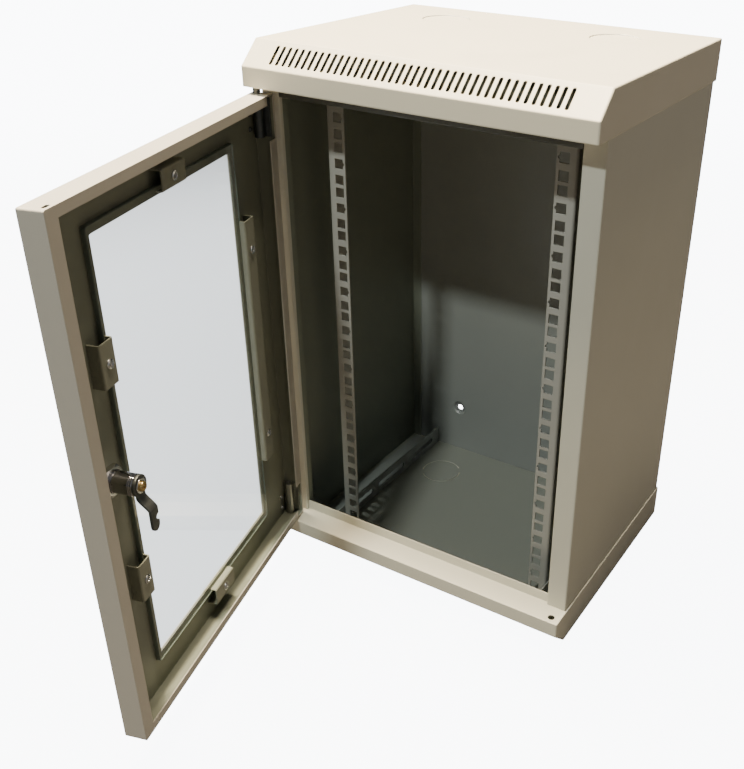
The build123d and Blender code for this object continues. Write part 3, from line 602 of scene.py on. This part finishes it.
def glassMaterial(name, values):
    # lamps and bounced light pass straight through, so the pane throws only a light shadow
    material, tree, shader = newMaterial(name)
    link = tree.links.new
    place = tree.nodes.new("ShaderNodeTexCoord").outputs["Object"]
    filmScale, filmRough = values["film"]
    film = useGroup(tree, handlingMarks, Scale=filmScale)
    link(place, film.inputs["Place"])
    rough = addNode(tree, "ShaderNodeMapRange", To_Min=values["rough"], To_Max=values["rough"] * filmRough)
    link(film.outputs["Mask"], rough.inputs["Value"])
    link(rough.outputs["Result"], shader.inputs["Roughness"])
    shader.inputs["Base Color"].default_value = (*values["color"], 1)
    shader.inputs["Transmission Weight"].default_value = 1.0
    shader.inputs["IOR"].default_value = values["ior"]
    clear = addNode(tree, "ShaderNodeBsdfTransparent", Color=(*values["passed"], 1))
    rays = tree.nodes.new("ShaderNodeLightPath")
    through = addNode(tree, "ShaderNodeMath", {"operation": "MAXIMUM"})
    link(rays.outputs["Is Shadow Ray"], through.inputs[0])
    link(rays.outputs["Is Diffuse Ray"], through.inputs[1])
    blend = tree.nodes.new("ShaderNodeMixShader")
    link(through.outputs["Value"], blend.inputs["Fac"])
    link(shader.outputs["BSDF"], blend.inputs[1])
    link(clear.outputs["BSDF"], blend.inputs[2])
    link(blend.outputs["Shader"], tree.nodes["Material Output"].inputs["Surface"])
    return material


softLook = {"cloud": 30.0, "bumpStrength": 0.5, "bumpDepth": 0.06 * mm}
softValues = {
    "foamStrip": {"light": (0.21, 0.22, 0.175), "dark": (0.18, 0.19, 0.15), "rough": 0.8, "scale": 1400.0},
    "groundGlass": {"light": (0.15, 0.18, 0.155), "dark": (0.10, 0.125, 0.105), "rough": 0.45,
                    "scale": 900.0},
    "nylonWasher": {"light": (0.72, 0.71, 0.66), "dark": (0.62, 0.61, 0.56), "rough": 0.5, "scale": 500.0},
}


def softMaterial(name, values):
    values = {**softLook, **values}
    material, tree, shader = newMaterial(name)
    place = tree.nodes.new("ShaderNodeTexCoord").outputs["Object"]
    peel = useGroup(tree, orangePeel, Scale=values["scale"], Cloud=values["cloud"])
    tree.links.new(place, peel.inputs["Place"])
    height = peel.outputs["Height"]
    tree.links.new(mix(tree, "RGBA", values["dark"], values["light"], height), shader.inputs["Base Color"])
    shader.inputs["Roughness"].default_value = values["rough"]
    roughen(tree, shader, height, values["bumpStrength"], values["bumpDepth"])
    return material


finishes = {name: coatMaterial(name, values) for name, values in coatValues.items()}
finishes |= {name: metalMaterial(name, values) for name, values in metalValues.items()}
finishes |= {name: softMaterial(name, values) for name, values in softValues.items()}
finishes["windowGlass"] = glassMaterial("windowGlass", glassValues)
print("finishes made:", len(finishes))

# every node has a finish, also where a piece made here stands for it
nodeFinishes = {
    # painted shade: the side, back, rail, door, clip and header coats below are darker copies of one powder
    # coat
    "shellCoat": ["base_tray"],
    "coverCoat": ["top_cover"],
    "headerShadowCoat": ["front_header"],
    "sideShadeCoat": ["left_side_panel", "right_side_panel"],
    "backShadeCoat": ["back_panel", "lower_left_bracket", "lower_right_bracket", "upper_left_bracket",
                 "upper_right_bracket"],
    "railShadeCoat": ["left_rack_rail", "right_rack_rail"],
    "doorShadeCoat": ["door_pan"],
    "clipShadeCoat": ["upper_glass_clip", "lower_glass_clip", "top_glass_clip", "bottom_glass_clip",
                 "hinge_side_glass_channel", "lower_hinge_bracket", "upper_hinge_bracket"],
    "zincPlate": ["clip_spacers", "lower_hinge_pin"],
    "brightZinc": ["rail_screws", "rail_nuts", "cover_studs", "cover_nuts", "clip_screws", "hinge_rivets"],
    "lockChrome": ["lock_housing", "lock_ring_nut", "lock_plug"],
    # painted shade: the upper hinge pin takes the dark cam steel, unlike the lower pin
    "camSteel": ["lock_cam", "upper_hinge_pin"],
    "boltBrass": ["cam_bolt"],
    "foamStrip": ["glass_seal"],
    "nylonWasher": ["hinge_washer"],
    "windowGlass": ["window_glass"],
}


def dressNodes(table):
    for finish, names in table.items():
        for name in names:
            mesh = frame["nodes"][name].data
            mesh.materials.clear()
            mesh.materials.append(finishes[finish])


# mesh making: points closer than the weld become one, and faces thinner than the sliver go
weld = 2e-7
sliver = 1e-8


def makeObject(name, surfaces, smoothDegrees=32):
    # each surface is a grid of points, joined along rows and columns, and wrapped where it says so
    points, faces, count = [], [], 0
    for grid, wrapRows, wrapColumns in surfaces:
        index = count + np.arange(grid.shape[0] * grid.shape[1]).reshape(grid.shape[:2])
        nextRow = np.roll(index, -1, 0) if wrapRows else index[1:]
        row = index if wrapRows else index[:-1]
        corners = [row, np.roll(row, -1, 1), np.roll(nextRow, -1, 1), nextRow]
        if not wrapColumns:
            corners = [corner[:, :-1] for corner in corners]
        faces.append(np.stack(corners, -1).reshape(-1, 4))
        points.append(grid.reshape(-1, 3))
        count += grid.shape[0] * grid.shape[1]
    mesh = bpy.data.meshes.new(name)
    mesh.from_pydata(np.concatenate(points).tolist(), [], np.concatenate(faces).tolist())
    shape = bmesh.new()
    shape.from_mesh(mesh)
    bmesh.ops.remove_doubles(shape, verts=shape.verts, dist=weld)
    bmesh.ops.dissolve_degenerate(shape, edges=shape.edges, dist=sliver)
    bmesh.ops.recalc_face_normals(shape, faces=shape.faces)
    shape.to_mesh(mesh)
    shape.free()
    mesh.polygons.foreach_set("use_smooth", np.ones(len(mesh.polygons), dtype=bool))
    mesh.set_sharp_from_angle(angle=math.radians(smoothDegrees))
    piece = bpy.data.objects.new(name, mesh)
    bpy.context.scene.collection.objects.link(piece)
    return piece


def axisFrame(axis, up):
    # three unit vectors: the first two span the plane across the axis
    axis = np.array(axis, dtype=float)
    first = np.array(up, dtype=float)
    return first, np.cross(axis, first), axis


def polarSurface(center, frameAxes, radius, height, angle):
    # center + radius * (cos angle, sin angle) across the axis + height along it
    first, second, axis = frameAxes
    radius, height, angle = (grid[..., None] for grid in np.broadcast_arrays(radius, height, angle))
    return np.array(center) + radius * (np.cos(angle) * first + np.sin(angle) * second) + height * axis


def profileSurface(center, frameAxes, profile, columns=64):
    # a turned piece: each (radius, height) of the profile swept round the axis
    rows = np.array(profile, dtype=float)
    angle = np.linspace(0, 2 * np.pi, columns, endpoint=False)[None, :]
    return polarSurface(center, frameAxes, rows[:, :1], rows[:, 1:], angle)


def finishPiece(piece, finish, body, slot, *nodes):
    piece.data.materials.append(finishes[finish])
    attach(piece, body)
    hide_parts(*nodes)


def giveSecondFinish(piece, finish, direction, chosen):
    # the faces for which chosen(normal . direction) holds take a second finish
    piece.data.materials.append(finishes[finish])
    normals = np.empty(len(piece.data.polygons) * 3)
    piece.data.polygons.foreach_get("normal", normals)
    share = normals.reshape(-1, 3) @ np.array(direction)
    piece.data.polygons.foreach_set("material_index", chosen(share).astype(np.int32))


def turnPiece(surfaces):
    # a piece drawn on the shut door goes to where the door stands
    return [(turned(grid, -doorAngle), wrapRows, wrapColumns) for grid, wrapRows, wrapColumns in surfaces]


# screws with a domed head and a cross
screwLook = {
    "columns": 80,
    "headRows": 26,
    "headEase": 0.93,  # the head's underside, as a share of its radius
    "crossEase": 0.3,  # share of the cross over which its walls slope
    "neck": 0.1 * mm,  # bare shank under the head
    "rowsPerTurn": 4,  # of the thread
    "pitch": 0.8 * mm,
    "crossHalf": 0.7 * mm,
    "crossDepth": 1.5 * mm,
}
clipScrewValues = {
    "shank": 2.0 * mm,
    "thread": 0.25 * mm,
    "head": 4.0 * mm,
    "rim": 0.7 * mm,
    "dome": 2.2 * mm,
    "crossHalf": 0.72 * mm,
    "crossReach": 2.6 * mm,
    "crossTurn": (0.4, 0.9),  # angle of the first cross, and the step to each next one
}
railScrewValues = {
    "shank": 3.0 * mm,
    "thread": 0.35 * mm,
    "pitch": 1.0 * mm,
    "head": 5.6 * mm,
    "rim": 0.9 * mm,
    "dome": 3.3 * mm,
    "crossReach": 3.2 * mm,
    "crossDepth": 1.8 * mm,
    "crossTurn": 0.3,
    "railSheet": 1.5 * mm,
}


def screwSurface(center, frameAxes, length, values):
    # shank: radius less a ripple that turns with the height
    # head: height = rim + rise * sqrt(1 - (r / R)^2), less the cross, which is deepest where the smaller of
    # |u| and |v| is nought and ends at its reach
    values = {**screwLook, **values}
    angle = np.linspace(0, 2 * np.pi, values["columns"], endpoint=False)[None, :]
    rows = max(6, int(values["rowsPerTurn"] * length / values["pitch"]))
    shankRows = np.linspace(-length, -values["neck"], rows)[:, None]
    ripple = 0.5 + 0.5 * np.cos(2 * np.pi * shankRows / values["pitch"] - angle)
    share = np.linspace(1, 0, values["headRows"])[:, None]
    rise = values["dome"] - values["rim"]
    headRadius = values["head"] * share + 0 * angle
    headHeight = values["rim"] + rise * np.sqrt(1 - share ** 2)
    across, along = np.abs(headRadius * np.cos(angle)), np.abs(headRadius * np.sin(angle))
    half, reach, ease = values["crossHalf"], values["crossReach"], values["crossEase"]
    inCross = np.clip((half - np.minimum(across, along)) / (ease * half), 0, 1)
    inReach = np.clip((reach - np.maximum(across, along)) / (ease * reach), 0, 1)
    headHeight = headHeight - values["crossDepth"] * inCross * inReach
    flat = 0 * angle
    radius = np.concatenate([flat, values["shank"] - values["thread"] * ripple, flat + values["shank"],
                             flat + values["headEase"] * values["head"], headRadius])
    height = np.concatenate([flat - length, shankRows + flat, flat, flat, headHeight])
    return polarSurface(center, frameAxes, radius, height, angle)


def makeClipScrews(values):
    low, high = shutBox("clip_screws")
    seat = high[1] - values["dome"]
    holders = ("upper_glass_clip", "lower_glass_clip", "hinge_side_glass_channel", "top_glass_clip",
               "bottom_glass_clip")
    upper, lower, channel, top, bottom = (sum(shutBox(name)) / 2 for name in holders)
    # the channel's two screws stand level with those of the side clips
    places = [(side[0], clip[2]) for side in (upper, channel) for clip in (upper, lower)]
    places += [(clip[0], clip[2]) for clip in (top, bottom)]
    surfaces = []
    first, step = values["crossTurn"]
    for count, (x, z) in enumerate(places):
        tilt = first + step * count
        axes = axisFrame((0, 1, 0), (math.cos(tilt), 0, math.sin(tilt)))
        surfaces.append((screwSurface((x, seat, z), axes, seat - low[1], values), False, True))
    screws = makeObject("clipScrews", turnPiece(surfaces), 38)
    finishPiece(screws, "brightZinc", "door", "zinc_fastener", "clip_screws")


def makeRailScrews(values):
    low, high = (np.array(corner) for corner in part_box("rail_screws"))
    nutLow, nutHigh = (np.array(corner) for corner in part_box("rail_nuts"))
    y = (low[1] + high[1]) / 2
    reach = high[0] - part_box("right_rack_rail")[1][0] + values["railSheet"]
    surfaces = []
    for side, seat in ((-1, low[0] + reach), (1, high[0] - reach)):
        for z in ((nutLow[2] + low[2]) / 2 + values["head"], (nutHigh[2] + high[2]) / 2 - values["head"]):
            tilt = values["crossTurn"] + z
            axes = axisFrame((-side, 0, 0), (0, math.cos(tilt), math.sin(tilt)))
            surfaces.append((screwSurface((seat, y, z), axes, reach, values), False, True))
    screws = makeObject("railScrews", surfaces, 38)
    finishPiece(screws, "brightZinc", "cabinet", "zinc_fastener", "rail_screws")


# cam lock: nut, barrel, cam and its bolt
lockValues = {
    "play": 0.1 * mm,
    "headFront": 2.6 * mm,
    "headRadius": 12.0 * mm,
    "headRound": 0.9 * mm,
    "bodyRadius": 9.0 * mm,
    "bodyFlats": 16.4 * mm,
    "bore": 6.68 * mm,
    "boreChamfer": 0.4 * mm,
    "endChamfer": 0.7 * mm,
    "grooves": (3.5 * mm, 2.0 * mm),  # from the barrel's end
    "grooveDepth": 0.45 * mm,
    "grooveHalf": 0.35 * mm,
    "nutFlats": 24.0 * mm,
    "nutEdge": 0.35 * mm,
    "nutChamfer": 0.5 * mm,
    "nutCone": 30,
    "leastCosine": 0.05,
    "columns": 144,
}


def hexRadius(angle, flats):
    # distance from the middle to the edge of a regular hexagon
    return flats / 2 / np.cos(np.mod(angle, np.pi / 3) - np.pi / 6)


def makeLockNut(values):
    low, high = shutBox("lock_ring_nut")
    center = ((low[0] + high[0]) / 2, low[1], (low[2] + high[2]) / 2)
    thick = high[1] - low[1]
    angle = np.linspace(0, 2 * np.pi, values["columns"], endpoint=False)[None, :]
    flat = 0 * angle
    outer = hexRadius(angle, values["nutFlats"])
    # the corners are cut back by a cone from the flats' inscribed circle
    slope = math.tan(math.radians(values["nutCone"]))
    cut = (outer - values["nutFlats"] / 2) * slope + values["nutEdge"] * 0.5
    bore = values["bodyRadius"] + values["play"]
    inscribed = values["nutFlats"] / 2 - values["nutEdge"]
    ease = values["nutChamfer"]
    radius = np.concatenate([flat + bore, flat + bore + ease, flat + inscribed, outer, outer,
                             flat + inscribed, flat + bore + ease, flat + bore])
    height = np.concatenate([flat + ease, flat, flat, cut, thick - cut, flat + thick, flat + thick,
                             flat + thick - ease])
    axes = axisFrame((0, 1, 0), (1, 0, 0))
    grid = polarSurface(center, axes, radius, height, angle)
    nut = makeObject("lockNut", turnPiece([(grid, True, True)]), 24)
    finishPiece(nut, "brightZinc", "door", "lock_chrome", "lock_ring_nut")


def makeLockBarrel(values):
    low, high = shutBox("lock_housing")
    center = ((low[0] + high[0]) / 2, low[1], (low[2] + high[2]) / 2)
    length = high[1] - low[1]
    angle = np.linspace(0, 2 * np.pi, values["columns"], endpoint=False)[None, :]
    flat = 0 * angle
    # the body is a circle with two flats: its radius is the smaller of the circle's and half the width over
    # the flats divided by |cos angle|
    acrossFlats = values["bodyFlats"] / 2 / np.maximum(np.abs(np.cos(angle)), values["leastCosine"])
    body = np.minimum(values["bodyRadius"], acrossFlats)
    turnRound = np.linspace(0, np.pi / 2, 6)[:, None]
    edge, bore, ease = values["headRound"], values["bore"], values["boreChamfer"]
    head, front = values["headRadius"], values["headFront"]
    rounded = flat + head - edge + edge * np.sin(turnRound)
    radii = [flat + bore, flat + bore + ease, rounded, flat + head, body]
    heights = [flat + ease, flat, flat + edge - edge * np.cos(turnRound), flat + front, flat + front]
    for groove in values["grooves"]:
        for shift, depth in ((-1.0, 0), (-0.5, 1), (0.5, 1), (1.0, 0)):
            radii.append(body - depth * values["grooveDepth"])
            heights.append(flat + length - groove + shift * values["grooveHalf"])
    radii += [body, body - values["endChamfer"], flat + bore + ease, flat + bore]
    heights += [flat + length - values["endChamfer"], flat + length, flat + length, flat + length - ease]
    axes = axisFrame((0, 1, 0), (1, 0, 0))
    grid = polarSurface(center, axes, np.concatenate(radii), np.concatenate(heights), angle)
    barrel = makeObject("lockBarrel", turnPiece([(grid, True, True)]), 30)
    finishPiece(barrel, "lockChrome", "door", "lock_chrome", "lock_housing")


camValues = {
    "hubRadius": 9.0 * mm,
    "length": 40.0 * mm,
    "neckHalf": 5.3 * mm,
    "tipRadius": 5.0 * mm,
    "notchRadius": 3.1 * mm,
    "notchOut": 4.7 * mm,
    "notchDown": 29.4 * mm,
    "crank": (9.6 * mm, 20.8 * mm),
    "crankStretch": 1.12,
    "crankSoft": 0.35,  # how much of the crank is an S curve; the rest is straight
    "sheet": 2.5 * mm,
    "edge": 0.35 * mm,
    "rows": 140,
}


def makeCam(values):
    # a strip down from the lock's axis: its middle line steps back over the crank, and its two edges follow
    # the hub's circle, a straight taper, the notch's circle and the tip's circle
    low, high = shutBox("lock_cam")
    x, z = (low[0] + high[0]) / 2, high[2] - values["hubRadius"]
    front, back = low[1] + values["sheet"] / 2, high[1] - values["sheet"] / 2
    hub, length, tip = values["hubRadius"], values["length"], values["tipRadius"]
    turnDown = np.linspace(-np.pi / 2, np.pi / 2, values["rows"])
    down = (length - hub) / 2 + (length + hub) / 2 * np.sin(turnDown)
    start, end = values["crank"]
    share = np.clip((down - start) / (end - start), 0, 1)
    share = np.clip(values["crankStretch"] * (share - 0.5) + 0.5, 0, 1)
    soft = values["crankSoft"]
    share = share * share * (3 - 2 * share) * soft + share * (1 - soft)
    depth = front + (back - front) * share
    taper = values["neckHalf"] + (tip - values["neckHalf"]) * np.clip(down / length, 0, 1)
    hubEdge = np.sqrt(np.maximum(hub ** 2 - down ** 2, 0))
    tipEdge = np.sqrt(np.maximum(tip ** 2 - (down - length + tip) ** 2, 0))
    half = np.where(down < 0, hubEdge, np.maximum(hubEdge, np.where(down > length - tip, tipEdge, taper)))
    notch = np.sqrt(np.maximum(values["notchRadius"] ** 2 - (down - values["notchDown"]) ** 2, 0))
    left = np.where(notch > 0, np.minimum(half, np.abs(values["notchOut"] - notch)), half)
    # points either way of the middle line along its normal
    slope = np.gradient(depth, down)
    normal = np.stack([np.ones_like(slope), slope], -1) / np.sqrt(1 + slope ** 2)[:, None]
    edge = np.minimum(values["edge"], half * 0.5)
    thick = values["sheet"] / 2
    ring = []
    for side, reach in ((-1, left), (1, half)):
        corners = [(reach - edge, -thick + 0 * edge), (reach, -thick + edge), (reach, thick - edge),
                   (reach - edge, thick + 0 * edge)]
        for out, lift in (corners if side > 0 else corners[::-1]):
            across, level = depth + lift * normal[:, 0], z - down + lift * normal[:, 1]
            ring.append(np.stack([x + side * out, across, level], -1))
    grid = np.stack(ring, 1)
    cam = makeObject("lockCam", turnPiece([(grid, False, True)]), 30)
    finishPiece(cam, "camSteel", "lock", "cam_steel", "lock_cam")


boltValues = {
    "washerRadius": 6.3 * mm,
    "washerBore": 3.0 * mm,
    "washer": 0.9 * mm,
    "round": 0.3 * mm,
    "shank": 2.3 * mm,
    "thread": 0.2 * mm,
    "head": 4.3 * mm,
    "rim": 1.2 * mm,
    "dome": 3.2 * mm,
    "crossReach": 2.7 * mm,
    "crossTurn": 0.5,
}


def makeCamBolt(values):
    low, high = shutBox("cam_bolt")
    x, z = (low[0] + high[0]) / 2, (low[2] + high[2]) / 2
    seat = high[1] - values["dome"]
    tilt = values["crossTurn"]
    axes = axisFrame((0, 1, 0), (math.cos(tilt), 0, math.sin(tilt)))
    head = screwSurface((x, seat, z), axes, seat - low[1], values)
    bolt = makeObject("camBolt", turnPiece([(head, False, True)]), 38)
    finishPiece(bolt, "boltBrass", "lock", "bolt_brass", "cam_bolt")
    outer, soft, thick = values["washerRadius"], values["round"], values["washer"]
    profile = [(values["washerBore"], 0), (outer - soft, 0), (outer, soft), (outer, thick - soft),
               (outer - soft, thick), (values["washerBore"], thick)]
    ring = profileSurface((x, seat - thick, z), axes, profile)
    washer = makeObject("camWasher", turnPiece([(ring, True, True)]), 30)
    finishPiece(washer, "brightZinc", "lock", "bolt_brass", "cam_bolt")


# hinges: a strip along the door's side wall that rolls round the pin, and two rivets beside it
hingeValues = {
    "sheet": 1.3 * mm,
    "play": 0.1 * mm,
    "edge": 0.3 * mm,
    "wrap": 318,
    "rivet": 2.4 * mm,
    "rivetRise": 2.6 * mm,
    "rivetGap": 0.8 * mm,
    "rivetShares": (0.42, 0.78),  # down the knuckle's height
    "highlightAbove": 0.6,  # faces that look up by more than this take a painted highlight
    "finish": "hingeSteel",
}
# its top is not seen, so none is bare
shadedUpperHingeValues = {**hingeValues, "highlightAbove": 2.0, "finish": "camSteel"}  # painted shade: the upper hinge takes the dark cam steel, and none of its faces takes the painted highlight


def stripSurface(path, low, high, sheet, edge):
    # a path in plan, given the sheet's thickness along its normal and a height from low to high, with its
    # edges eased
    step = np.gradient(path, axis=0)
    normal = np.stack([-step[:, 1], step[:, 0]], -1) / np.linalg.norm(step, axis=1)[:, None]
    half = sheet / 2
    ring = [(-half, low + edge), (-half + edge, low), (half - edge, low), (half, low + edge),
            (half, high - edge), (half - edge, high), (-half + edge, high), (-half, high - edge)]
    columns = [np.column_stack([path + out * normal, np.full(len(path), z)]) for out, z in ring]
    grid = np.stack(columns, 1)
    # both ends are closed by drawing their ring in to its middle
    ends = [np.broadcast_to(grid[row].mean(0), grid[row].shape) for row in (0, -1)]
    return np.concatenate([ends[0][None], grid, ends[1][None]])


def makeHinge(name, node, pin, values):
    low, high = shutBox(node)
    pinLow, pinHigh = shutBox(pin)
    center = (pinLow[:2] + pinHigh[:2]) / 2
    roll = (pinHigh[0] - pinLow[0]) / 2 + values["play"] + values["sheet"] / 2
    # straight along the door's side wall, then round the pin
    along = np.linspace(high[1], center[1] + values["play"], 8)
    straight = np.column_stack([np.full(len(along), center[0] - roll), along])
    turnRound = np.radians(180 + np.linspace(0, values["wrap"], 60))[:, None]
    rolled = center + roll * np.concatenate([np.cos(turnRound), np.sin(turnRound)], 1)
    path = np.concatenate([straight, rolled])
    surfaces = [(stripSurface(path, low[2], high[2], values["sheet"], values["edge"]), False, True)]
    # two rivets stand on the door's sheet, close beside the knuckle
    axes = axisFrame((0, 1, 0), (1, 0, 0))
    dome = np.linspace(0, np.pi / 2, 8)
    radius, rise = values["rivet"], values["rivetRise"]
    profile = [(0, 0)] + [(radius * math.cos(turn), rise * math.sin(turn)) for turn in dome]
    rivetX = center[0] + roll + radius + values["rivetGap"]
    for share in values["rivetShares"]:
        place = (rivetX, low[1], high[2] - share * (high[2] - low[2]))
        surfaces.append((profileSurface(place, axes, profile, 32), False, True))
    hinge = makeObject(name, turnPiece(surfaces), 35)
    finishPiece(hinge, values["finish"], "door", "zinc_sheet", node, "hinge_rivets")
    # painted highlight: the faces that look up take bright zinc, standing in for light on the hinge's top
    giveSecondFinish(hinge, "brightZinc", (0, 0, 1), lambda share: share > values["highlightAbove"])


# glass pane: flat faces, a small chamfer all round and a ground edge
paneValues = {"chamfer": 0.5 * mm, "corner": 3.0 * mm, "cornerPoints": 7, "edgeSlant": 0.9}


def makePane(values):
    low, high = shutBox("window_glass")
    middle, half = (low + high) / 2, (high - low) / 2
    corner = values["corner"]
    turn = np.linspace(0, np.pi / 2, values["cornerPoints"])
    # outline: each quarter turn of the corner's circle, moved out to its corner of the rectangle
    outline, lean = [], []
    for quarter, (across, up) in enumerate(((1, 1), (-1, 1), (-1, -1), (1, -1))):
        angle = turn + quarter * np.pi / 2
        lean.append(np.stack([np.cos(angle), np.sin(angle)], -1))
        outline.append(lean[-1] * corner + np.array([across * (half[0] - corner), up * (half[2] - corner)]))
    outline, lean = np.concatenate(outline), np.concatenate(lean)
    cut = values["chamfer"]
    rows = []
    front, back = low[1], high[1]
    # from the middle of the front face, over the chamfered edge, to the middle of the back face
    for inward, depth in ((None, front), (cut, front), (0, front + cut), (0, back - cut), (cut, back),
                          (None, back)):
        flat = 0 * outline if inward is None else outline - inward * lean
        x, z = middle[0] + flat[:, 0], middle[2] + flat[:, 1]
        rows.append(np.column_stack([x, np.full(len(x), depth), z]))
    pane = makeObject("windowPane", turnPiece([(np.stack(rows), False, True)]), 20)
    finishPiece(pane, "windowGlass", "door", "clear_glass", "window_glass")
    # the pane's own axis, turned with the door, tells its faces from its edge
    hinge = np.array([*doorHinge["pos_m"][:2], 0])
    paneAxis = turned(hinge + np.array([0, 1, 0]), -doorAngle) - hinge
    giveSecondFinish(pane, "groundGlass", paneAxis, lambda share: np.abs(share) < values["edgeSlant"])


makePane(paneValues)
makeClipScrews(clipScrewValues)
makeRailScrews(railScrewValues)
makeLockNut(lockValues)
makeLockBarrel(lockValues)
makeCam(camValues)
makeCamBolt(boltValues)
makeHinge("lowerHinge", "lower_hinge_bracket", "lower_hinge_pin", hingeValues)
makeHinge("upperHinge", "upper_hinge_bracket", "upper_hinge_pin", shadedUpperHingeValues)
print("pane, screws, lock and hinges made")

makeFloor(studioValues)
placeLamps(studioValues)
dressNodes(nodeFinishes)
print("studio ready, nodes dressed")
